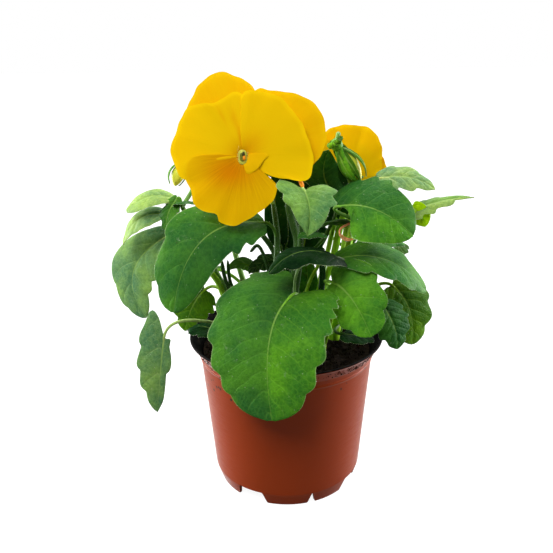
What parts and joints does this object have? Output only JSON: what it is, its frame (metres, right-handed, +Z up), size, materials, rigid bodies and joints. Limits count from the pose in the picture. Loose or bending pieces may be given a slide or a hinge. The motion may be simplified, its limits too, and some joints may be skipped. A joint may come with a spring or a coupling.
{
  "type": "potted pansy planter",
  "caption": "Yellow pansy with large blooms, nodding buds and scalloped leaves, growing in soil in a plain round terracotta-coloured nursery pot.",
  "frame": {"origin": "where the pot's axis meets the surface it stands on, under the middle of the plant's bounding box", "axes": "+Z up along the pot's axis, -Y to the front that the large open bloom faces, +X to the right as seen from the front"},
  "size_m": [0.1877, 0.1366, 0.2217],
  "materials": {
    "terracotta_plastic": "thin satin plastic, red-brown outside and black inside",
    "potting_soil": "dark crumbly peat",
    "leaf_green": "soft satin leaf with pale veins",
    "petal_yellow": "velvety translucent petal",
    "bud_yellow_green": "soft closed bud"
  },
  "bodies": {
    "root": {"pot": "terracotta_plastic", "soil": "potting_soil", "shoot_left": "leaf_green", "shoot_front_left": "leaf_green", "shoot_front": "leaf_green", "shoot_right": "leaf_green", "shoot_right_low": "leaf_green", "shoot_left_low": "leaf_green", "shoot_back_left": "leaf_green", "shoot_back": "leaf_green", "shoot_back_right": "leaf_green", "bloom_front": "petal_yellow", "bloom_rear": "petal_yellow", "bud_right": "bud_yellow_green", "bud_left": "bud_yellow_green"}
  },
  "joints": []
}
